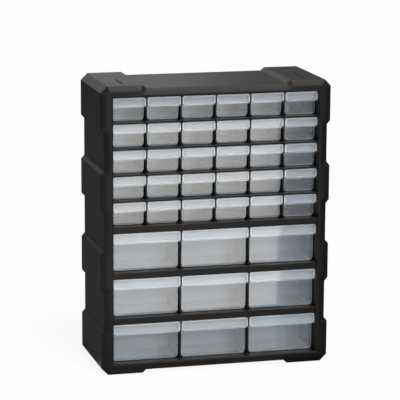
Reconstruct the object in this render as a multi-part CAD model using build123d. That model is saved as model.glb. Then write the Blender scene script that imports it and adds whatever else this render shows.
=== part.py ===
# Mini drawer cabinet: a black moulded case with five rows of six small drawers
# above three rows of three large drawers. Every drawer slides out on its own.
# Frame: X to the right, Y to the back, Z up; origin under the middle of the base.
# All sizes are in millimetres.
import math
import os
from build123d import *

# Drawer cells
small_rows = 5
small_columns = 6
large_rows = 3
large_columns = 3
small_cell_width = 55.0
small_cell_height = 40.2
large_cell_height = 65.0
partition_thickness = 2.0
thin_shelf = 2.0
thick_shelf = 10.0

# Rails of the face around the cells
side_rail = 20.0
base_rail = 17.5
top_rail = 18.5

# Outline of the case: raised pads with sloped ends, and cut corners
corner_cut = 11.0
pad_length = 57.0
pad_height = 5.3
pad_slope_run = 6.0

# Depths along Y
case_depth = 155.0
bevel_depth = 4.5
bevel_width = 10.0
bevel_steps = 5

# Walls of the case
shell_wall = 2.5
liner_wall = 2.0
back_wall = 2.5
face_edge_round = 2.5
shelf_setback = 3.0
shelf_edge_round = 0.5
seam_width = 0.6
seam_depth = 0.8
spigot_length = 8.0
spigot_wall = 2.0
fascia_wall = 2.0
partition_setback = 11.0

# Small part of a millimetre between mouldings that plug together
fit_clearance = 0.2

# How far a cut runs past the face it opens, and how closely an edge is placed when it is looked up
overshoot = 1.0
place_tolerance = 0.01

# Drawers
lip_setback = 8.0
lip_reach = 11.0
small_lip_height = 15.5
large_lip_height = 17.5
lip_end_gap = 0.4
lip_corner = 2.5
lip_rim = 2.0
lip_panel_depth = 1.0
lip_skin = 1.4
front_wall = 1.5
tray_wall = 1.2
tray_side_clearance = 0.8
tray_taper = 0.5
tray_corner = 6.5
tray_front_round = 1.2
tray_rear_gap = 5.0
floor_clearance = 0.3
ceiling_clearance = 1.8

# Cross divider that stands in grooves half way along each drawer
divider_place = 64.0
divider_wall = 1.2
divider_drop = 4.0
groove_rib = 1.0
groove_clearance = 0.15
divider_end_gap = 0.3

# Stop that keeps a drawer from being pulled right out
stop_place = 25.5
stop_thickness = 2.0
stop_width = 12.0
stop_drop = 1.3
catch_width = 14.0
catch_gap = 0.5
stop_clearance = 0.3

# Keyhole slots for hanging the cabinet on two wall screws
keyhole_column = 2
keyhole_entry_radius = 5.0
keyhole_slot_radius = 2.5
keyhole_rise = 11.0
keyhole_drop = 5.0

# Long slots in the top pads, which take the locating ribs of a stacked cabinet
stacking_slot_width = 2.0
stacking_slot_length = 60.0
stacking_slot_setback = 16.0

# Sizes that follow from the ones above
opening_width = small_columns * small_cell_width + (small_columns - 1) * partition_thickness
large_cell_width = (opening_width - (large_columns - 1) * partition_thickness) / large_columns
large_stack = large_rows * (large_cell_height + thick_shelf)
small_stack = small_rows * small_cell_height + (small_rows - 1) * thin_shelf
opening_height = large_stack + small_stack
case_width = opening_width + 2 * side_rail
case_height = base_rail + opening_height + top_rail
opening_top = base_rail + opening_height
front_y = -case_depth / 2
back_y = case_depth / 2
seam_y = front_y + bevel_depth
back_panel_y = back_y - back_wall
shelf_front_y = front_y + shelf_setback
lip_front_y = front_y + lip_setback
tray_front_y = lip_front_y + lip_reach
tray_rear_y = back_panel_y - tray_rear_gap
stop_front_y = front_y + stop_place
drawer_travel = tray_rear_y - tray_wall - (stop_front_y + stop_thickness) - stop_clearance

os.makedirs("parts", exist_ok=True)


# Outlines

def case_outline():
    """Corner points (x, z) of the case seen from the front, anticlockwise."""
    half = case_width / 2
    recess_x = half - pad_height
    pad_end = half - corner_cut - pad_length
    side_recess = (case_height - 2 * corner_cut - 4 * pad_length - 6 * pad_slope_run) / 3
    right = [
        (pad_end - pad_slope_run, pad_height),
        (pad_end, 0),
        (half - corner_cut, 0),
        (half, corner_cut),
    ]
    z = corner_cut + pad_length
    for recess in range(3):
        right.append((half, z))
        right.append((recess_x, z + pad_slope_run))
        z += pad_slope_run + side_recess
        right.append((recess_x, z))
        right.append((half, z + pad_slope_run))
        z += pad_slope_run + pad_length
    right += [
        (half, case_height - corner_cut),
        (half - corner_cut, case_height),
        (pad_end, case_height),
        (pad_end - pad_slope_run, case_height - pad_height),
    ]
    left = [(-x, z) for x, z in reversed(right)]
    return right + left


def inset(points, distance):
    """The same closed outline moved inwards by a distance, with mitred corners."""
    count = len(points)
    moved = []
    for i in range(count):
        before, here, after = points[i - 1], points[i], points[(i + 1) % count]
        ax, az = here[0] - before[0], here[1] - before[1]
        bx, bz = after[0] - here[0], after[1] - here[1]
        a_length, b_length = math.hypot(ax, az), math.hypot(bx, bz)
        na = (-az / a_length, ax / a_length)
        nb = (-bz / b_length, bx / b_length)
        scale = distance / (1 + na[0] * nb[0] + na[1] * nb[1])
        moved.append((here[0] + scale * (na[0] + nb[0]), here[1] + scale * (na[1] + nb[1])))
    return moved


def outline_face(points):
    return Plane.XZ * make_face(Polyline(*points, close=True))


def slab(face, y_low, y_high):
    """A face on the XZ plane made into a solid between two depths."""
    return Pos(0, y_high, 0) * extrude(face, amount=y_high - y_low)


def block(x_low, x_high, y_low, y_high, z_low, z_high):
    low = (x_low, y_low, z_low)
    size = (x_high - x_low, y_high - y_low, z_high - z_low)
    return Pos(*low) * Box(*size, align=(Align.MIN, Align.MIN, Align.MIN))


def edges_at(shape, axis, place):
    """Edges whose whole length lies at one place along an axis."""
    return shape.edges().filter_by_position(axis, place - place_tolerance, place + place_tolerance)


outline = case_outline()


# Cell positions

def column_edges(column, columns, width):
    """Left and right side of a cell, counted from 0 at the left."""
    left = -opening_width / 2 + column * (width + partition_thickness)
    return left, left + width


def small_floor(row):
    """Top of the shelf under a small row, with row 0 at the top."""
    return opening_top - (row + 1) * small_cell_height - row * thin_shelf


def large_floor(row):
    """Top of the floor under a large row, with row 0 the highest."""
    return base_rail + (large_rows - 1 - row) * (large_cell_height + thick_shelf)


# Case mouldings

def front_frame():
    radius = (bevel_width ** 2 + bevel_depth ** 2) / (2 * bevel_depth)
    wires = []
    for step in range(bevel_steps):
        share = step / (bevel_steps - 1)
        out = bevel_width * (1 - share)
        y = front_y + radius - math.sqrt(radius ** 2 - out ** 2)
        wires.append(Pos(0, y, 0) * outline_face(inset(outline, bevel_width - out)).wire())
    frame = Solid.make_loft(wires, ruled=True)
    plug = inset(outline, shell_wall + fit_clearance)
    spigot_faces = outline_face(plug) - outline_face(inset(plug, spigot_wall))
    frame = frame + slab(spigot_faces, seam_y, seam_y + spigot_length)
    half = opening_width / 2
    frame = frame - block(-half, half, front_y - overshoot, seam_y + overshoot, base_rail, opening_top)
    rim = [e for e in edges_at(frame, Axis.Y, front_y)
           if abs(e.center().X) < half + place_tolerance
           and base_rail - place_tolerance < e.center().Z < opening_top + place_tolerance]
    return fillet(rim, face_edge_round)


def outer_shell():
    inner = outline_face(inset(outline, shell_wall))
    wall = slab(outline_face(outline) - inner, seam_y + seam_width, back_y)
    step = slab(outline_face(inset(outline, seam_depth)) - inner, seam_y, seam_y + seam_width)
    shell = wall + step
    slot_front = front_y + stacking_slot_setback
    for side in (-1, 1):
        middle = side * (case_width / 2 - corner_cut - pad_length / 2)
        shell = shell - block(middle - stacking_slot_width / 2, middle + stacking_slot_width / 2,
                              slot_front, slot_front + stacking_slot_length,
                              case_height - 2 * shell_wall, case_height + overshoot)
    return shell


def cell_liner():
    half = opening_width / 2
    outer = block(-half - liner_wall, half + liner_wall, seam_y, back_panel_y,
                  base_rail - liner_wall, opening_top + liner_wall)
    liner = outer - block(-half, half, seam_y - overshoot, back_panel_y + overshoot,
                          base_rail, opening_top)
    for column in range(small_columns):
        liner = liner + drawer_stop(column, small_columns, small_cell_width, opening_top, opening_top)
    return liner


def back_panel():
    plate = slab(outline_face(inset(outline, shell_wall + fit_clearance)), back_panel_y, back_y)
    for side in (-1, 1):
        x, z = keyhole_centre(side)
        entry = Pos(x, back_y, z) * Rot(90, 0, 0) * Cylinder(keyhole_entry_radius, 4 * back_wall)
        slot = block(x - keyhole_slot_radius, x + keyhole_slot_radius,
                     back_panel_y - overshoot, back_y + overshoot, z, z + keyhole_rise)
        slot_end = Pos(x, back_y, z + keyhole_rise) * Rot(90, 0, 0)
        plate = plate - entry - slot - slot_end * Cylinder(keyhole_slot_radius, 4 * back_wall)
    return plate


def keyhole_centre(side):
    """Centre of a keyhole's round entry, behind a cell of the top row."""
    left, right = column_edges(keyhole_column - 1, small_columns, small_cell_width)
    middle = small_floor(0) + small_cell_height / 2
    return side * abs(left + right) / 2, middle - keyhole_drop


def drawer_stop(column, columns, width, ceiling, root):
    """Small nib that hangs under the ceiling of a cell, down from its root."""
    left, right = column_edges(column, columns, width)
    middle = (left + right) / 2
    return block(middle - stop_width / 2, middle + stop_width / 2,
                 stop_front_y, stop_front_y + stop_thickness, ceiling - stop_drop, root)


def long_front_edges(shelf):
    return edges_at(shelf, Axis.Y, shelf_front_y).filter_by(Axis.X)


def small_shelf(row):
    """Thin shelf under a small row, with the stops of the row below it."""
    half = opening_width / 2
    top = small_floor(row)
    shelf = block(-half, half, shelf_front_y, back_panel_y, top - thin_shelf, top)
    shelf = fillet(long_front_edges(shelf), shelf_edge_round)
    for column in range(small_columns):
        under = top - thin_shelf
        shelf = shelf + drawer_stop(column, small_columns, small_cell_width, under, under)
    return shelf


def large_shelf(top):
    """Shelf over a large row: a thin plate behind a deep fascia."""
    half = opening_width / 2
    under = top - thick_shelf
    shelf = block(-half, half, shelf_front_y, back_panel_y, top - thin_shelf, top)
    shelf = shelf + block(-half, half, shelf_front_y, shelf_front_y + fascia_wall, under, top)
    shelf = fillet(long_front_edges(shelf), shelf_edge_round)
    for column in range(large_columns):
        shelf = shelf + drawer_stop(column, large_columns, large_cell_width, under, top - thin_shelf)
    return shelf


def partitions(columns, width, bottom, top):
    """Upright plates between the cells of one row."""
    plates = []
    for column in range(columns - 1):
        right = column_edges(column, columns, width)[1]
        plates.append(block(right, right + partition_thickness,
                            front_y + partition_setback, back_panel_y, bottom, top))
    return plates


# Drawers

def tray_section(half_top, half_bottom, bottom, top, corner):
    """Open drawer section seen from the front, wider at the top."""
    points = [(-half_top, top), (-half_bottom, bottom), (half_bottom, bottom), (half_top, top)]
    face = make_face(Polyline(*points, close=True))
    low = face.vertices().sort_by(Axis.Y)[:2]
    return Plane.XZ * fillet(low, corner)


def drawer(width, height, lip_height):
    """Tray, finger pull and divider of a drawer, with its middle at X = 0 and the shelf under it at Z = 0."""
    bottom = floor_clearance
    top = height - ceiling_clearance
    half_top = width / 2 - tray_side_clearance
    half_bottom = half_top - tray_taper
    tray = slab(tray_section(half_top, half_bottom, bottom, top, tray_corner),
                tray_front_y, tray_rear_y)
    front_edges = [e for e in edges_at(tray, Axis.Y, tray_front_y) if e.center().Z < top - place_tolerance]
    tray = fillet(front_edges, tray_front_round)
    inside = slab(tray_section(half_top - tray_wall, half_bottom - tray_wall, bottom + tray_wall,
                               top + tray_wall, tray_corner - tray_wall),
                  tray_front_y + front_wall, tray_rear_y - tray_wall)
    groove_y = tray_front_y + divider_place
    rib_low = groove_y - groove_clearance - groove_rib
    rib_high = groove_y + divider_wall + groove_clearance + groove_rib
    slope = tray_taper / (top - bottom)
    reach = half_bottom - tray_wall - groove_rib
    clear = tray_section(reach + slope * (top + overshoot - bottom), reach, bottom + tray_wall + groove_rib,
                         top + overshoot, tray_corner - tray_wall - groove_rib)
    ribs = slab(tray_section(half_top - tray_wall / 2, half_bottom - tray_wall / 2,
                             bottom + tray_wall / 2, top - divider_drop, tray_corner - tray_wall / 2),
                rib_low, rib_high)
    ribs = ribs - slab(clear, rib_low - overshoot, rib_high + overshoot)
    ribs = ribs - block(-width, width, groove_y - groove_clearance,
                        groove_y + divider_wall + groove_clearance, bottom + tray_wall, top)
    tray = tray - inside + ribs
    catch_top = height - catch_gap
    tray = tray + block(-catch_width / 2, catch_width / 2, tray_rear_y - tray_wall, tray_rear_y,
                        top - tray_wall, catch_top)
    plate_half = half_bottom - tray_wall - divider_end_gap
    plate_low = bottom + tray_wall
    plate_top = top - divider_drop
    rise = slope * (plate_top - plate_low)
    divider = slab(tray_section(plate_half + rise, plate_half, plate_low, plate_top, tray_corner - tray_wall),
                   groove_y, groove_y + divider_wall)
    return tray, finger_pull(width, top, lip_height), divider


def finger_pull(width, top, lip_height):
    """Hollow lip across the top of a drawer front, open underneath, which meets the front face to face."""
    half = width / 2 - lip_end_gap
    low = top - lip_height
    face = make_face(Polyline((-half, low), (half, low), (half, top), (-half, top), close=True))
    shape = slab(Plane.XZ * fillet(face.vertices(), lip_corner), lip_front_y, tray_front_y)
    inner_half = half - lip_skin
    hollow = block(-inner_half, inner_half, lip_front_y + lip_panel_depth + lip_skin,
                   tray_front_y + overshoot, low - overshoot, top - lip_skin)
    panel_half = half - lip_rim
    panel = make_face(Polyline((-panel_half, low + lip_rim), (panel_half, low + lip_rim),
                               (panel_half, top - lip_rim / 2), (-panel_half, top - lip_rim / 2),
                               close=True))
    panel = slab(Plane.XZ * fillet(panel.vertices(), lip_rim / 2), lip_front_y - overshoot,
                 lip_front_y + lip_panel_depth)
    return shape - hollow - panel


# Writing the pieces

def write(name, shapes):
    solids = shapes if isinstance(shapes, list) else [shapes]
    if len(solids) == 1:
        export_step(solids[0], f"parts/{name}.step")
    else:
        export_step(Compound(children=solids), f"parts/{name}.step")


write("front_frame", front_frame())
write("outer_shell", outer_shell())
write("cell_liner", cell_liner())
write("back_panel", back_panel())

for row in range(small_rows - 1):
    write(f"shelf_small_{row + 1}", small_shelf(row))
for row in range(large_rows):
    write(f"shelf_large_{row + 1}", large_shelf(large_floor(row) + large_cell_height + thick_shelf))

for row in range(small_rows):
    floor = small_floor(row)
    write(f"partitions_small_{row + 1}",
          partitions(small_columns, small_cell_width, floor, floor + small_cell_height))
for row in range(large_rows):
    floor = large_floor(row)
    plate_top = floor + large_cell_height + thick_shelf - thin_shelf
    write(f"partitions_large_{row + 1}", partitions(large_columns, large_cell_width, floor, plate_top))

small_drawer = drawer(small_cell_width, small_cell_height, small_lip_height)
for row in range(small_rows):
    for column in range(small_columns):
        left, right = column_edges(column, small_columns, small_cell_width)
        place = Pos((left + right) / 2, 0, small_floor(row))
        write(f"drawer_small_{row + 1}_{column + 1}", [place * piece for piece in small_drawer])

large_drawer = drawer(large_cell_width, large_cell_height, large_lip_height)
for row in range(large_rows):
    for column in range(large_columns):
        left, right = column_edges(column, large_columns, large_cell_width)
        place = Pos((left + right) / 2, 0, large_floor(row))
        write(f"drawer_large_{row + 1}_{column + 1}", [place * piece for piece in large_drawer])

print("case", case_width, case_depth, case_height)
print("drawer travel", round(drawer_travel, 2))
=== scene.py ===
# %% [markdown]
# # A mini drawer cabinet
# An upright case of black moulded plastic holds thirty small drawers above nine large ones. The case's
# construction comes from a CAD frame. Here its visible mouldings and every drawer are modelled again
# with the soft edges, hollow lips and thin walls that the light shows, and all surfaces get a finish.

# %% Frame and units
import math

import bmesh
import bpy
from mathutils import Matrix, Vector


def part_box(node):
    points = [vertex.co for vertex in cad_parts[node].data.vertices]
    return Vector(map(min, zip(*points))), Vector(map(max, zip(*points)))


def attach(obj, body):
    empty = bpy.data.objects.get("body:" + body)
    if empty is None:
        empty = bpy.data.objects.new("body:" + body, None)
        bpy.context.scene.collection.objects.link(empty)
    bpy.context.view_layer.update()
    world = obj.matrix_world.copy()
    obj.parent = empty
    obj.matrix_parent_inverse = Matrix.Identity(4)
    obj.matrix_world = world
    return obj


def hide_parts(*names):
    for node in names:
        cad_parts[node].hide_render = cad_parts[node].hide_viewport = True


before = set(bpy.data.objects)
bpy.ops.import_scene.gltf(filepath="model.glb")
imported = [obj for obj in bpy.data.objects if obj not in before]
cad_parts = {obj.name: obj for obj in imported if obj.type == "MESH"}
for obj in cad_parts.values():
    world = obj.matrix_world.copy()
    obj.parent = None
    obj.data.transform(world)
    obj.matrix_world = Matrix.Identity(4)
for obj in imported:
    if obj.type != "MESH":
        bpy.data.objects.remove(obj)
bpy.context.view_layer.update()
mm = 0.001

# %% [markdown]
# ## Sizes of the case
# The overall box and the opening are read from the frame, so the new pieces land on the old ones. Only
# the sizes that a box can't tell, such as the length of a pad or the depth of the seam, are named here.

# %% Case sizes
case_low, case_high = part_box("outer_shell")
half_width = case_high.x
case_height = case_high.z
middle_height = case_height / 2
front_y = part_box("front_frame")[0].y
seam_y = case_low.y
back_y = case_high.y
opening_low, opening_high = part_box("cell_liner")
liner_wall = 2 * mm
opening_half = opening_high.x - liner_wall
opening_bottom = opening_low.z + liner_wall
opening_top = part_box("partitions_small_1")[1].z

corner_cut = 11 * mm
pad_length = 57 * mm
pad_height = 5.3 * mm
pad_slope_run = 6 * mm
bevel_width = 10 * mm
shell_wall = 2.5 * mm
seam_width = 0.6 * mm
seam_depth = 0.8 * mm
print("case:", round(2 * half_width, 4), "wide and", round(case_height, 4), "high")

# %% [markdown]
# ## Helpers for mesh work
# A bmesh is an editable mesh in memory. These few helpers start a box from its two corners, find edges
# by where they lie or run, and turn a finished bmesh into a piece of the object.

# %% A box from two corners, and ways to choose edges and faces
same_place = 1e-6
parallel = 0.999
square_on = 0.99


def add_box(bm, low, high):
    size = Vector(high) - Vector(low)
    place = Matrix.Translation((Vector(low) + Vector(high)) / 2) @ Matrix.Diagonal((*size, 1))
    return bmesh.ops.create_cube(bm, size=1, matrix=place)["verts"]


def runs_along(edge, axis):
    """True if an edge is parallel to X, Y or Z, which are 0, 1 and 2."""
    line = edge.verts[1].co - edge.verts[0].co
    return abs(line[axis]) > parallel * line.length


def lies_at(item, axis, place):
    """True if every corner of an edge or a face is at one place along an axis."""
    return all(abs(v.co[axis] - place) < same_place for v in item.verts)


def delete_faces_at(bm, axis, place):
    bmesh.ops.delete(bm, geom=[f for f in bm.faces if lies_at(f, axis, place)], context="FACES")


def soften(bm, edges, radius, segments):
    bmesh.ops.bevel(bm, geom=edges, offset=radius, segments=segments, profile=0.5,
                    affect="EDGES", material=-1, clamp_overlap=True)


def soften_sharp(bm, radius, segments, angle=40):
    """Rounds every edge where two faces meet at more than an angle."""
    sharp = [e for e in bm.edges
             if len(e.link_faces) == 2 and e.calc_face_angle(0) > math.radians(angle)]
    soften(bm, sharp, radius, segments)


# %% From a bmesh to a piece of the object
def shade(bm, angle=32):
    """Shades smoothly over gentle edges and leaves the others crisp."""
    for face in bm.faces:
        face.smooth = True
    for edge in bm.edges:
        if len(edge.link_faces) == 2 and edge.calc_face_angle() > math.radians(angle):
            edge.smooth = False


def to_mesh(bm, name):
    bmesh.ops.remove_doubles(bm, verts=bm.verts, dist=same_place)
    bmesh.ops.recalc_face_normals(bm, faces=bm.faces)
    shade(bm)
    mesh = bpy.data.meshes.new(name)
    bm.to_mesh(mesh)
    bm.free()
    return mesh


def add_piece(mesh, name, body, slot, *nodes):
    piece = bpy.data.objects.new(name, mesh)
    bpy.context.scene.collection.objects.link(piece)
    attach(piece, body)
    flatter = piece.modifiers.new("flat_faces_stay_flat", "WEIGHTED_NORMAL")
    flatter.keep_sharp = True
    flatter.weight = 100
    if nodes:
        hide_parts(*nodes)
    return piece


# %% [markdown]
# ## The outline of the case
# Front ring and shell share one outline: raised pads with sloped ends, and cut corners. It is symmetric
# both ways, so a quarter of it is drawn and mirrored twice, and the four faces are dissolved into one.

# %% Outline face
same_depth = 1e-7
straight_angle = 0.001


def quarter_outline():
    """Corners of the upper right quarter, as X and Z, from the middle of the case round to the top."""
    recess_x = half_width - pad_height
    pad_end = half_width - corner_cut - pad_length
    top_pad_end = case_height - corner_cut - pad_length
    side_recess = (case_height - 2 * corner_cut - 4 * pad_length - 6 * pad_slope_run) / 3
    low_pad = middle_height + side_recess / 2
    return [
        (0, middle_height),
        (recess_x, middle_height),
        (recess_x, low_pad),
        (half_width, low_pad + pad_slope_run),
        (half_width, low_pad + pad_slope_run + pad_length),
        (recess_x, low_pad + 2 * pad_slope_run + pad_length),
        (recess_x, top_pad_end - pad_slope_run),
        (half_width, top_pad_end),
        (half_width, case_height - corner_cut),
        (half_width - corner_cut, case_height),
        (pad_end, case_height),
        (pad_end - pad_slope_run, case_height - pad_height),
        (0, case_height - pad_height),
    ]


def outline_face(bm, y):
    """One flat face with the whole outline, at one depth and turned to the front."""
    faces = [bm.faces.new([bm.verts.new((x, y, z)) for x, z in quarter_outline()])]
    middle = Matrix.Translation((0, 0, -middle_height))
    for axis in "XZ":
        made = bmesh.ops.mirror(bm, geom=faces, matrix=middle, axis=axis, merge_dist=0)["geom"]
        faces += [g for g in made if isinstance(g, bmesh.types.BMFace)]
    verts = {v for f in faces for v in f.verts}
    bmesh.ops.remove_doubles(bm, verts=list(verts), dist=same_place)
    faces = [f for f in bm.faces
             if f.is_valid and all(abs(v.co.y - y) < same_depth for v in f.verts)]
    for face in faces:
        face.normal_update()
    bmesh.ops.recalc_face_normals(bm, faces=faces)
    face = bmesh.ops.dissolve_faces(bm, faces=faces, use_verts=True)["region"][0]
    bmesh.ops.dissolve_limit(bm, angle_limit=straight_angle, verts=list(face.verts),
                             edges=list(face.edges))
    face = max((f for f in bm.faces if abs(f.calc_center_median().y - y) < same_depth),
               key=lambda f: f.calc_area())
    face.normal_update()
    if face.normal.y > 0:
        face.normal_flip()
    return face


# %% [markdown]
# ### From the outline to a tube
# Each moulding of the case is a tube that follows the outline. An inset of even width draws the inner
# line of its wall, an extrusion gives its depth, and joining the rims of both ends opens it.

# %% Inset, extrusion and passage
def even_inset(bm, face, thickness, depth=0):
    """Insets a flat face by an even width, moves it out by a depth, and gives the new faces round it."""
    made = bmesh.ops.inset_region(bm, faces=[face], thickness=thickness, depth=depth,
                                  use_even_offset=True, use_boundary=True)
    return made["faces"]


def pull(bm, face, distance, leave_base=False):
    """Extrudes a face along Y and gives the new face. With leave_base the old one stays as well."""
    made = bmesh.ops.extrude_face_region(bm, geom=[face])["geom"]
    moved = [g for g in made if isinstance(g, bmesh.types.BMVert)]
    bmesh.ops.translate(bm, vec=(0, distance, 0), verts=moved)
    if face.is_valid and not leave_base:
        bmesh.ops.delete(bm, geom=[face], context="FACES_ONLY")
    return next(g for g in made if isinstance(g, bmesh.types.BMFace))


def open_between(bm, faces):
    """Takes away two facing faces of a solid and joins the rims they leave, which makes a passage."""
    rims = [e for f in faces for e in f.edges]
    bmesh.ops.delete(bm, geom=faces, context="FACES_ONLY")
    bmesh.ops.bridge_loops(bm, edges=rims)


def add_sleeve(bm, inset_by, wall, y_low, y_high):
    """A closed tube that follows the outline of the case from one depth to another."""
    front = outline_face(bm, y_low)
    bmesh.ops.delete(bm, geom=even_inset(bm, front, inset_by), context="FACES")
    back = pull(bm, front, y_high - y_low, leave_base=True)
    even_inset(bm, front, wall)
    even_inset(bm, back, wall)
    open_between(bm, [front, back])


# %% [markdown]
# ## Front ring
# The ring that frames the drawers slopes back to the shell along its outer edge. The slope bulges a
# little, so the outline is inset again and again along a shallow arc. The flat front is then filled in
# round the rectangle of the opening, whose edges run back through the ring and are rounded. A spigot
# behind the ring plugs into the shell.

# %% Front ring
roll_steps = 8
roll_turn = math.radians(17)
opening_edge_round = 2.5 * mm
fit_clearance = 0.2 * mm
spigot_wall = 2 * mm
spigot_length = 8 * mm


def roll_forward(bm, front, depth):
    """Insets a face and moves it forward step by step, which leaves the slope behind it."""
    slope = math.atan2(depth, bevel_width)
    radius = math.hypot(depth, bevel_width) / (2 * math.sin(roll_turn / 2))
    angles = [slope + roll_turn * (0.5 - step / roll_steps) for step in range(roll_steps + 1)]
    for angle, next_angle in zip(angles, angles[1:]):
        inward = radius * (math.sin(angle) - math.sin(next_angle))
        forward = radius * (math.cos(next_angle) - math.cos(angle))
        even_inset(bm, front, inward, forward)


def front_ring():
    bm = bmesh.new()
    front = outline_face(bm, seam_y)
    depth = seam_y - front_y
    roll_forward(bm, front, depth)
    front_edges = list(front.edges)
    outline_edges = [e for e in bm.edges if lies_at(e, 1, seam_y)]
    bmesh.ops.delete(bm, geom=[front], context="FACES_ONLY")

    corners = [(-opening_half, opening_bottom), (opening_half, opening_bottom),
               (opening_half, opening_top), (-opening_half, opening_top)]
    rim = [bm.verts.new((x, front_y, z)) for x, z in corners]
    rim_edges = [bm.edges.new((rim[i - 1], rim[i])) for i in range(4)]
    bmesh.ops.triangle_fill(bm, use_beauty=True, use_dissolve=False, edges=front_edges + rim_edges)
    made = bmesh.ops.extrude_edge_only(bm, edges=rim_edges)["geom"]
    moved = [g for g in made if isinstance(g, bmesh.types.BMVert)]
    bmesh.ops.translate(bm, vec=(0, depth, 0), verts=moved)
    back_edges = [g for g in made if isinstance(g, bmesh.types.BMEdge) and lies_at(g, 1, seam_y)]
    bmesh.ops.triangle_fill(bm, use_beauty=True, use_dissolve=False, edges=outline_edges + back_edges)
    # The mitres, where the slope turns a corner of the outline, stay crisp
    for edge in bm.edges:
        if not (lies_at(edge, 1, edge.verts[0].co.y) or runs_along(edge, 1)):
            edge.smooth = False
    soften(bm, rim_edges, opening_edge_round, segments=6)
    add_sleeve(bm, shell_wall + fit_clearance, spigot_wall, seam_y, seam_y + spigot_length)
    return to_mesh(bm, "front_ring")


front_ring_piece = add_piece(front_ring(), "front_ring", "case", "case_plastic", "front_frame")
print("front ring:", len(front_ring_piece.data.polygons), "faces")

# %% [markdown]
# ## Outer shell
# The shell behind the ring is a tube with the same outline. A shallow rebate at its front edge makes the
# dark seam, the long edges of the pads are rounded, and a straight slot goes through each top pad.

# %% A slot through a level wall
def level_faces_in(bm, low, high):
    """Faces square to Z that reach into a box."""
    found = []
    for face in bm.faces:
        spans = [(min(v.co[i] for v in face.verts), max(v.co[i] for v in face.verts)) for i in range(3)]
        reaches = all(a < high[i] - same_place and b > low[i] + same_place
                      for i, (a, b) in enumerate(spans))
        if reaches and abs(face.normal.z) > square_on:
            found.append(face)
    return found


def cut_slot(bm, low, high):
    """Cuts a box-shaped slot through both faces of a level wall."""
    bm.normal_update()
    for axis, across in ((0, Vector((1, 0, 0))), (1, Vector((0, 1, 0)))):
        for corner in (low, high):
            walls = level_faces_in(bm, low, high)
            around = {e for f in walls for e in f.edges} | {v for f in walls for v in f.verts}
            bmesh.ops.bisect_plane(bm, geom=walls + list(around), plane_co=across * corner[axis],
                                   plane_no=across)
    open_between(bm, level_faces_in(bm, low, high))


# %% Outer shell
pad_edge_round = 0.7 * mm
slot_width = 2 * mm
slot_length = 60 * mm
slot_setback = 16 * mm


def outer_shell():
    bm = bmesh.new()
    front = outline_face(bm, seam_y + seam_width)
    back = pull(bm, front, back_y - seam_y - seam_width, leave_base=True)
    sides = [f for f in bm.faces if f not in (front, back)]
    even_inset(bm, front, seam_depth)
    front = pull(bm, front, -seam_width)
    even_inset(bm, front, shell_wall - seam_depth)
    even_inset(bm, back, shell_wall)
    open_between(bm, [front, back])
    soften(bm, list({e for f in sides for e in f.edges}), pad_edge_round, segments=3)
    for side in (-1, 1):
        middle = side * (half_width - corner_cut - pad_length / 2)
        cut_slot(bm, (middle - slot_width / 2, front_y + slot_setback, case_height - 2 * shell_wall),
                 (middle + slot_width / 2, front_y + slot_setback + slot_length, case_height + mm))
    return to_mesh(bm, "outer_shell")


shell_piece = add_piece(outer_shell(), "case_shell", "case", "case_plastic", "outer_shell")
print("shell:", len(shell_piece.data.polygons), "faces")

# %% [markdown]
# ## Drawers
# Every drawer is a thin-walled open tray with rounded lower corners, a hollow finger pull across its
# front and a loose divider that stands in grooves. A small and a large one are modelled once, with the
# middle at X = 0 and the shelf at Z = 0, and copied into the cells.

# %% Drawer sizes
lip_front_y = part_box("drawer_small_1_1")[0].y
tray_rear_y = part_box("drawer_small_1_1")[1].y
lip_reach = 11 * mm
lip_end_gap = 0.4 * mm
floor_clearance = 0.3 * mm
tray_wall = 1.2 * mm
tray_front_y = lip_front_y + lip_reach
thin_edge_round = 0.25 * mm
print("tray:", round(tray_rear_y - tray_front_y, 4), "long")

# %% [markdown]
# ### Tray
# The tray starts as a box: its lower edges are rounded, its lid is taken off, the edges round its front
# are rounded too, and the sheet is given a wall.

# %% Tray
tray_taper = 0.5 * mm
tray_corner = 6.5 * mm
tray_front_round = 1.2 * mm


def add_trough(bm, half_top, half_bottom, bottom, top, corner, y_low, y_high):
    """A box along Y with sloped sides and rounded lower corners, open above."""
    verts = add_box(bm, (-half_top, y_low, bottom), (half_top, y_high, top))
    low_verts = [v for v in verts if v.co.z < (bottom + top) / 2]
    bmesh.ops.scale(bm, vec=(half_bottom / half_top, 1, 1), verts=low_verts)
    low_edges = [e for e in bm.edges if runs_along(e, 1) and lies_at(e, 2, bottom)]
    soften(bm, low_edges, corner, segments=6)
    delete_faces_at(bm, 2, top)


def add_walls(bm, thickness):
    """Gives a sheet a wall on its inner side."""
    bmesh.ops.recalc_face_normals(bm, faces=bm.faces)
    bmesh.ops.solidify(bm, geom=list(bm.faces), thickness=thickness)


def tray(half_top, top):
    bm = bmesh.new()
    add_trough(bm, half_top, half_top - tray_taper, floor_clearance, top, tray_corner,
               tray_front_y, tray_rear_y)
    front_edges = [e for e in bm.edges if lies_at(e, 1, tray_front_y) and not lies_at(e, 2, top)]
    soften(bm, front_edges, tray_front_round, segments=4)
    add_walls(bm, tray_wall)
    soften_sharp(bm, thin_edge_round, segments=2)
    return to_mesh(bm, "tray")


# %% [markdown]
# ### Finger pull
# The pull is a second box, open underneath. Three insets in its face leave a panel edged by a groove.
# The box's rounded corners give the first inset short edges. They are merged, which leaves a plain
# rectangle, and its corners are set to their exact places.

# %% Finger pull
small_lip_height = 15.5 * mm
large_lip_height = 17.5 * mm
lip_corner = 2.5 * mm
lip_skin = 1.4 * mm
lip_rim = 2 * mm
lip_low_rim = 3.2 * mm
lip_edge_round = 0.3 * mm
lip_groove_side = 0.25 * mm
lip_groove_floor = 1.0 * mm
lip_groove_depth = 0.9 * mm
lip_panel_rise = 0.5 * mm
lip_root_share = 0.9
short_edge = 1.2 * mm


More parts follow.
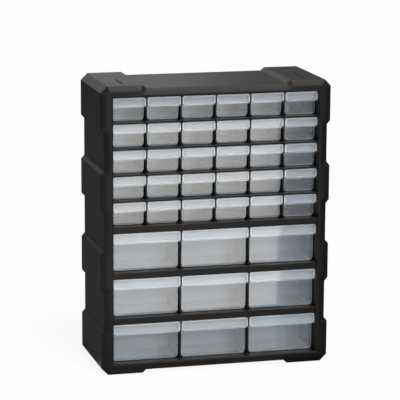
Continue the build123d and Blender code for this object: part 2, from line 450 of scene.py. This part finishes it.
def largest_front_face(bm):
    ahead = min(v.co.y for v in bm.verts)
    return max((f for f in bm.faces if abs(f.calc_center_median().y - ahead) < same_place),
               key=lambda f: f.calc_area())


def finger_pull(width, top, height):
    """The hollow lip. Its root ends inside the front wall of the tray."""
    bm = bmesh.new()
    half = width / 2 - lip_end_gap
    low = top - height
    add_box(bm, (-half, lip_front_y, low), (half, tray_front_y + lip_root_share * tray_wall, top))
    soften(bm, [e for e in bm.edges if runs_along(e, 1)], lip_corner, segments=4)
    delete_faces_at(bm, 2, low)
    add_walls(bm, lip_skin)
    soften_sharp(bm, lip_edge_round, segments=2)
    panel = largest_front_face(bm)
    even_inset(bm, panel, lip_rim - lip_edge_round)
    bmesh.ops.remove_doubles(bm, verts=list(panel.verts), dist=short_edge)
    panel = largest_front_face(bm)
    for v in panel.verts:
        v.co.x = math.copysign(half - lip_rim, v.co.x)
        v.co.z = low + lip_low_rim if v.co.z < low + height / 2 else top - lip_rim
    even_inset(bm, panel, lip_groove_side, -lip_groove_depth)
    even_inset(bm, panel, lip_groove_floor)
    even_inset(bm, panel, lip_groove_side, lip_panel_rise)
    return to_mesh(bm, "finger_pull")


# %% [markdown]
# ### Grooves, catch and divider
# Two U-shaped ribs on the walls and the floor make the groove that holds the divider. The catch is the
# small tab on the rear wall that meets the stop in the case when the drawer is pulled out.

# %% Ribs and catch
divider_place = 64 * mm
divider_wall = 1.2 * mm
divider_drop = 4 * mm
groove_rib = 1 * mm
groove_clearance = 0.15 * mm
rib_edge_round = 0.15 * mm
catch_width = 14 * mm
catch_gap = 0.5 * mm
catch_edge_round = 0.2 * mm
catch_front_share = 0.95
catch_rear_share = 0.05
groove_y = tray_front_y + divider_place


def groove_ribs(half_top, top):
    ribs = []
    grow = tray_wall / 2
    rib_top = top - divider_drop
    front = groove_y - groove_clearance - groove_rib
    rear = groove_y + divider_wall + groove_clearance
    for y in (front, rear):
        bm = bmesh.new()
        add_trough(bm, half_top - grow, half_top - grow - tray_taper, floor_clearance + grow, rib_top,
                   tray_corner - grow, y, y + groove_rib)
        delete_faces_at(bm, 1, y)
        delete_faces_at(bm, 1, y + groove_rib)
        add_walls(bm, tray_wall - grow + groove_rib)
        soften_sharp(bm, rib_edge_round, segments=1)
        ribs.append(to_mesh(bm, "rib"))
    return ribs


def catch(top, height):
    """A tab rooted in the rear wall, between two shares of the wall's thickness."""
    bm = bmesh.new()
    add_box(bm, (-catch_width / 2, tray_rear_y - catch_front_share * tray_wall, top - 2 * tray_wall),
            (catch_width / 2, tray_rear_y - catch_rear_share * tray_wall, height - catch_gap))
    soften_sharp(bm, catch_edge_round, segments=2)
    return to_mesh(bm, "catch")


# %% Divider
divider_end_gap = 0.3 * mm


def divider(half_top, top):
    """A plate with the inner cross section of the tray, a little narrower and lower."""
    bm = bmesh.new()
    half = half_top - tray_taper - tray_wall - divider_end_gap
    low = floor_clearance + tray_wall
    plate_top = top - divider_drop
    slope = tray_taper * (plate_top - low) / (top - floor_clearance)
    add_trough(bm, half + slope, half, low, plate_top, tray_corner - tray_wall,
               groove_y, groove_y + divider_wall)
    rim = [e for e in bm.edges if e.is_boundary]
    bmesh.ops.contextual_create(bm, geom=rim)
    bmesh.ops.recalc_face_normals(bm, faces=bm.faces)
    soften_sharp(bm, thin_edge_round, segments=2)
    return to_mesh(bm, "divider")


# %% [markdown]
# ### One skin with four finishes
# A real tray and its pull leave the mould in one piece, so the shapes are joined by a Boolean union into
# one closed skin. Each of its faces then gets the number of one of four finishes, which are made later.

# %% Finish of each face
milky, clear, thin, lip = range(4)
front_wall_share = 0.6
panel_near = 0.1 * mm
panel_far = 3 * mm
side_facing = 0.4


def finish_number(face, skirt_top):
    """Clear for the tray's front, side walls and lower roundings, and milky for the rest of it. On the
    pull, thin for the panel, its groove, the skin behind and what is below skirt_top, and else lip."""
    middle = face.calc_center_median()
    depth = middle.y - tray_front_y
    if abs(face.normal.y) > square_on:
        if abs(depth - tray_wall / 2) < front_wall_share * tray_wall:
            return clear
        if -lip_reach + panel_near < depth < -lip_reach + panel_far:
            return thin
    if depth > 0:
        return clear if abs(face.normal.x) > side_facing else milky
    return thin if middle.z < skirt_top else lip


# %% Joining
def joined(meshes, skirt_top):
    """One closed mesh from several that overlap."""
    shapes = [bpy.data.objects.new("shape", mesh) for mesh in meshes]
    for shape in shapes:
        bpy.context.scene.collection.objects.link(shape)
    for other in shapes[1:]:
        union = shapes[0].modifiers.new("union", "BOOLEAN")
        union.operation = "UNION"
        union.solver = "EXACT"
        union.object = other
    whole = shapes[0].evaluated_get(bpy.context.evaluated_depsgraph_get())
    bm = bmesh.new()
    bm.from_mesh(whole.to_mesh())
    for shape in shapes:
        bpy.data.objects.remove(shape)
    bm.normal_update()
    for face in bm.faces:
        face.material_index = finish_number(face, skirt_top)
    return to_mesh(bm, "tray_and_pull")


# %% One small and one large drawer
ceiling_clearance = 1.8 * mm
tray_side_clearance = 0.8 * mm


def drawer_shapes(node, lip_height):
    """Tray and divider meshes for a drawer with the width and height of a CAD one."""
    low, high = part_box(node)
    width = high.x - low.x + 2 * lip_end_gap
    height = high.z - low.z + floor_clearance + catch_gap
    top = height - ceiling_clearance
    half_top = width / 2 - tray_side_clearance
    pieces = [tray(half_top, top), finger_pull(width, top, lip_height), catch(top, height)]
    body = joined(pieces + groove_ribs(half_top, top), top - lip_height + lip_low_rim)
    return body, divider(half_top, top)


small_shapes = drawer_shapes("drawer_small_1_1", small_lip_height)
large_shapes = drawer_shapes("drawer_large_1_1", large_lip_height)
print("small drawer:", len(small_shapes[0].polygons), "faces; large:", len(large_shapes[0].polygons))

# %% [markdown]
# ### A drawer for every cell
# Each copy is moved inside its own mesh, so the object itself stays at the origin, and rides on the body
# of its own drawer.

# %% Copies in the cells
def copied(mesh, name, place):
    moved = mesh.copy()
    moved.name = name
    moved.transform(Matrix.Translation(place))
    return moved


drawer_pieces = []
for node in sorted(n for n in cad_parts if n.startswith("drawer_")):
    low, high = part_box(node)
    place = Vector(((low.x + high.x) / 2, 0, low.z - floor_clearance))
    body_mesh, divider_mesh = small_shapes if "small" in node else large_shapes
    cell = node.removeprefix("drawer_")
    for kind, mesh in (("tray", body_mesh), ("divider", divider_mesh)):
        name = kind + "_" + cell
        drawer_pieces.append(add_piece(copied(mesh, name, place), name, node, "drawer_plastic", node))
print("drawer pieces:", len(drawer_pieces))

# %% [markdown]
# ## Finishes
# The patterns are read at the object's own coordinates, in metres, so a scale of 1000 gives grains of
# about a millimetre. The case is a black moulding with a fine grain, satin rather than glossy. Its low
# specular level keeps the broad sides dark.

# %% Nodes for a pattern
def noise(nodes, links, place, scale, detail):
    texture = nodes.new("ShaderNodeTexNoise")
    texture.inputs["Scale"].default_value = scale
    texture.inputs["Detail"].default_value = detail
    links.new(place, texture.inputs["Vector"])
    return texture.outputs["Fac"]


def ranged(nodes, links, value, low, high):
    """Maps a 0 to 1 pattern to a range."""
    node = nodes.new("ShaderNodeMapRange")
    node.inputs["To Min"].default_value = low
    node.inputs["To Max"].default_value = high
    links.new(value, node.inputs["Value"])
    return node.outputs["Result"]


def blended(nodes, links, value, dark, light):
    node = nodes.new("ShaderNodeMix")
    node.data_type = "RGBA"
    node.inputs["A"].default_value = (*dark, 1)
    node.inputs["B"].default_value = (*light, 1)
    links.new(value, node.inputs["Factor"])
    return node.outputs["Result"]


def bumped(nodes, links, height, strength, distance):
    node = nodes.new("ShaderNodeBump")
    node.inputs["Strength"].default_value = strength
    node.inputs["Distance"].default_value = distance
    links.new(height, node.inputs["Height"])
    return node.outputs["Normal"]


def new_material(name):
    material = bpy.data.materials.new(name)
    material.use_nodes = True
    nodes, links = material.node_tree.nodes, material.node_tree.links
    place = nodes.new("ShaderNodeTexCoord").outputs["Object"]
    return material, nodes, links, nodes["Principled BSDF"], place


# %% Case plastic
grain_height = 0.2 * mm


def case_plastic():
    material, nodes, links, shader, place = new_material("case_plastic")
    grain = noise(nodes, links, place, scale=1400, detail=3)
    cloud = noise(nodes, links, place, scale=14, detail=2)
    color = blended(nodes, links, cloud, dark=(0.006, 0.006, 0.006), light=(0.009, 0.0085, 0.008))
    links.new(color, shader.inputs["Base Color"])
    links.new(ranged(nodes, links, grain, low=0.34, high=0.44), shader.inputs["Roughness"])
    bump = bumped(nodes, links, grain, strength=0.35, distance=grain_height)
    links.new(bump, shader.inputs["Normal"])
    shader.inputs["Specular IOR Level"].default_value = 0.13
    return material


case_finish = case_plastic()
print("case finish:", case_finish.name)

# %% [markdown]
# ### Drawer plastic
# The drawers are faintly blue, milky plastic with a gloss on top. Part of the light goes through and the
# rest is scattered back, and the clearness is the share that goes through. These shares are given below.
# The divider shows through the fronts, so these and the side walls are the clearest. The panel and the
# lower rim of a pull look darker than the rest of it, so they let more through. The floor is milkiest.
# The milkiness of the pull and of the inside is partly real and partly painted light: it brightens the
# floor where the pull shades it, and brightens the pull as the light from above does.

# %% Drawer plastic
plastic_ior = 1.49


def drawer_plastic(name, clearness):
    material, nodes, links, shader, place = new_material(name)
    frost = noise(nodes, links, place, scale=900, detail=2)
    cloud = noise(nodes, links, place, scale=22, detail=2)
    color = blended(nodes, links, cloud, dark=(0.79, 0.838, 0.888), light=(0.84, 0.888, 0.928))
    links.new(color, shader.inputs["Base Color"])
    links.new(ranged(nodes, links, frost, low=0.04, high=0.08), shader.inputs["Roughness"])
    bump = bumped(nodes, links, frost, strength=0.02, distance=grain_height)
    links.new(bump, shader.inputs["Normal"])
    shader.inputs["IOR"].default_value = plastic_ior
    shader.inputs["Transmission Weight"].default_value = clearness
    shader.inputs["Coat Weight"].default_value = 1
    return material


# In the order of the numbers milky, clear, thin and lip
drawer_finishes = [
    # milky: partly painted light, it brightens the floor and divider that the pull shades
    drawer_plastic("drawer_plastic", clearness=0.12),
    drawer_plastic("front_plastic", clearness=0.93),
    drawer_plastic("thin_plastic", clearness=0.85),
    # lip: partly painted light, it brightens the pull as the light from above does, besides its double
    # skin
    drawer_plastic("lip_plastic", clearness=0.26),
]
print("drawer finishes:", [m.name for m in drawer_finishes])

# %% Finishes on the new pieces and on the CAD nodes
for piece in (front_ring_piece, shell_piece):
    piece.data.materials.append(case_finish)
for piece in drawer_pieces:
    for finish in drawer_finishes:
        piece.data.materials.append(finish)
for name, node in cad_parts.items():
    if not node.material_slots:
        node.data.materials.append(None)
    for holder in node.material_slots:
        holder.link = "OBJECT"
        holder.material = drawer_finishes[milky] if name.startswith("drawer_") else case_finish
print("finished:", len(drawer_pieces) + 2, "new pieces and", len(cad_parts), "nodes")

# %% [markdown]
# ## Floor and world
# A pale floor stands in a pale world. Both are white to the camera, in reflections and through clear
# plastic, and plain to the rays that light things, so their white puts no extra light on the cabinet.

# %% What is seen directly
def seen_directly(nodes, links):
    """1 for rays from the camera, a reflection or glass, and 0 for rays that light things."""
    path = nodes.new("ShaderNodeLightPath")
    total = path.outputs["Is Camera Ray"]
    for name in ("Is Glossy Ray", "Is Transmission Ray"):
        most = nodes.new("ShaderNodeMath")
        most.operation = "MAXIMUM"
        links.new(total, most.inputs[0])
        links.new(path.outputs[name], most.inputs[1])
        total = most.outputs["Value"]
    return total


# %% Floor
floor_half = 8.0
floor_color = (0.85, 0.85, 0.85, 1)
floor_glow_share = 0.90


def floor_material():
    material = bpy.data.materials.new("floor")
    material.use_nodes = True
    nodes, links = material.node_tree.nodes, material.node_tree.links
    nodes.clear()
    pale = nodes.new("ShaderNodeBsdfDiffuse")
    pale.inputs["Color"].default_value = floor_color
    white = nodes.new("ShaderNodeEmission")
    share = nodes.new("ShaderNodeMath")
    share.operation = "MULTIPLY"
    share.inputs[1].default_value = floor_glow_share
    links.new(seen_directly(nodes, links), share.inputs[0])
    mix = nodes.new("ShaderNodeMixShader")
    links.new(share.outputs["Value"], mix.inputs["Fac"])
    links.new(pale.outputs["BSDF"], mix.inputs[1])
    links.new(white.outputs["Emission"], mix.inputs[2])
    links.new(mix.outputs["Shader"], nodes.new("ShaderNodeOutputMaterial").inputs["Surface"])
    return material


bm = bmesh.new()
bmesh.ops.create_grid(bm, x_segments=1, y_segments=1, size=floor_half)
floor = bpy.data.objects.new("floor", to_mesh(bm, "floor"))
floor.data.materials.append(floor_material())
bpy.context.scene.collection.objects.link(floor)
print("floor:", 2 * floor_half, "wide")

# %% World
ambient_color = (0.95, 0.97, 1.0, 1)
ambient_strength = 0.25

world = bpy.data.worlds.new("studio")
bpy.context.scene.world = world
world.use_nodes = True
nodes, links = world.node_tree.nodes, world.node_tree.links
ambient = nodes["Background"]
ambient.inputs["Color"].default_value = ambient_color
ambient.inputs["Strength"].default_value = ambient_strength
white = nodes.new("ShaderNodeBackground")
white.inputs["Strength"].default_value = 1.0
mix = nodes.new("ShaderNodeMixShader")
links.new(seen_directly(nodes, links), mix.inputs["Fac"])
links.new(ambient.outputs["Background"], mix.inputs[1])
links.new(white.outputs["Background"], mix.inputs[2])
links.new(mix.outputs["Shader"], nodes["World Output"].inputs["Surface"])
print("world:", ambient_strength, "as light")

# %% [markdown]
# ## Sheets that only reflections see
# Glossy plastic looks dull unless something bright stands in front of it. A photographer puts up cards,
# and here glowing sheets take their place. The bright ones lie on the floor in front and hang high in
# front, and a dark floor and a grey wall stand for the rest of the room.

# %% A sheet for reflections
def flat_sheet(corners):
    """A bmesh with one face through the corners."""
    bm = bmesh.new()
    bmesh.ops.contextual_create(bm, geom=[bm.verts.new(corner) for corner in corners])
    return bm


def seen_in_reflections(bm, name, color, strength):
    """A glowing sheet of the studio that only gloss shows: it lights nothing and throws no shadow."""
    sheet = bpy.data.objects.new(name, to_mesh(bm, name))
    material = bpy.data.materials.new(name)
    material.use_nodes = True
    nodes, links = material.node_tree.nodes, material.node_tree.links
    nodes.clear()
    glow = nodes.new("ShaderNodeEmission")
    glow.inputs["Color"].default_value = (*color, 1)
    glow.inputs["Strength"].default_value = strength
    links.new(glow.outputs["Emission"], nodes.new("ShaderNodeOutputMaterial").inputs["Surface"])
    sheet.data.materials.append(material)
    sheet.visible_camera = False
    sheet.visible_diffuse = False
    sheet.visible_transmission = False
    sheet.visible_shadow = False
    bpy.context.scene.collection.objects.link(sheet)


# %% Dark floor and grey wall
dark_floor_half = 7
wall_radius = 6.5
wall_height = 4.0

bm = bmesh.new()
bmesh.ops.create_grid(bm, x_segments=1, y_segments=1, size=dark_floor_half,
                      matrix=Matrix.Translation((0, 0, mm)))
seen_in_reflections(bm, "dark_floor", color=(1, 1, 1), strength=0.03)

bm = bmesh.new()
bmesh.ops.create_cone(bm, segments=48, radius1=wall_radius, radius2=wall_radius, depth=wall_height,
                      matrix=Matrix.Translation((0, 0, wall_height / 2)))
seen_in_reflections(bm, "grey_wall", color=(1, 0.98, 0.94), strength=0.20)
print("room in reflections:", 2 * wall_radius, "wide")

# %% Cards
card_z = 2 * mm
card_left = -0.8
card_right = 0.09
card_slant = 0.3078
card_color = (1.0, 0.94, 0.87)
high_card_y = -3.0
# Name, near end and far end along Y, and strength
card_strips = (
    ("near_card", 0.0, -0.38, 0.65),
    ("white_card", -0.38, -2.44, 2.55),
    ("far_card", -2.44, -2.74, 1.1),
    ("last_card", -2.74, -3.4, 0.15),
)
for name, near, far, strength in card_strips:
    near_right, far_right = (card_right - card_slant * y for y in (near, far))
    card = [(card_left, near), (near_right, near), (far_right, far), (card_left, far)]
    seen_in_reflections(flat_sheet([(x, y, card_z) for x, y in card]), name, card_color, strength)

card = [(-1.6, 0.0), (-0.2, 0.0), (-0.2, 3.0), (-1.6, 3.0)]
seen_in_reflections(flat_sheet([(x, y, card_z) for x, y in card]), "left_card",
                    color=(1.0, 1.0, 1.0), strength=0.18)

card = [(-0.6, 1.2), (2.2, 1.2), (2.2, 4.2), (-0.6, 4.2)]
seen_in_reflections(flat_sheet([(x, high_card_y, z) for x, z in card]), "high_card",
                    color=(1.0, 0.98, 0.96), strength=6.2)
print("cards:", len(card_strips) + 2)

# %% [markdown]
# ## Lamps
# The main light is a sun high in front, with a wide angle, so its shadow is soft. A lamp at the front
# right stands much lower and lights the faces, and one behind the cabinet lights its top and back.

# %% Lamps
def soft_lamp(name, place, aim, size, power):
    lamp = bpy.data.lights.new(name, "AREA")
    lamp.shape = "RECTANGLE"
    lamp.size, lamp.size_y = size
    lamp.energy = power
    holder = bpy.data.objects.new(name, lamp)
    holder.location = place
    holder.rotation_euler = (Vector(aim) - Vector(place)).to_track_quat("-Z", "Y").to_euler()
    bpy.context.scene.collection.objects.link(holder)


soft_lamp("front_lamp", place=(0.7, -2.4, 0.85), aim=(0, 0, middle_height), size=(1.4, 0.8), power=9.5)
soft_lamp("rear_lamp", place=(-0.4, 1.6, 1.2), aim=(0, 0, case_height), size=(2.0, 1.0), power=5.1)

sky_tilt = math.radians(30)
sky_turn = math.radians(10)
sky = bpy.data.lights.new("sky_lamp", "SUN")
sky.energy = 2.65
sky.angle = math.radians(28)
sky_holder = bpy.data.objects.new("sky_lamp", sky)
sky_holder.rotation_euler = (sky_tilt, 0, sky_turn)
bpy.context.scene.collection.objects.link(sky_holder)

# %% [markdown]
# ## Camera
# A long lens, to the left of the cabinet and above it, gives the nearly parallel edges of a product
# picture.

# %% Camera
camera_place = Vector((-0.9133, -3.3753, 0.9840))
camera_aim = Vector((-0.0077, 0, 0.2652))
camera_roll = math.radians(0.30)
camera_lens = 195.9

camera = bpy.data.cameras.new("camera")
camera.lens = camera_lens
camera.sensor_width = 36
camera.clip_end = 50
view = bpy.data.objects.new("camera", camera)
view.location = camera_place
turn = (camera_aim - camera_place).to_track_quat("-Z", "Y").to_matrix()
view.rotation_euler = (turn @ Matrix.Rotation(camera_roll, 3, "Z")).to_euler()
bpy.context.scene.collection.objects.link(view)
bpy.context.scene.camera = view
bpy.context.scene.view_settings.view_transform = "Standard"
print("camera:", round((camera_aim - camera_place).length, 2), "m away")
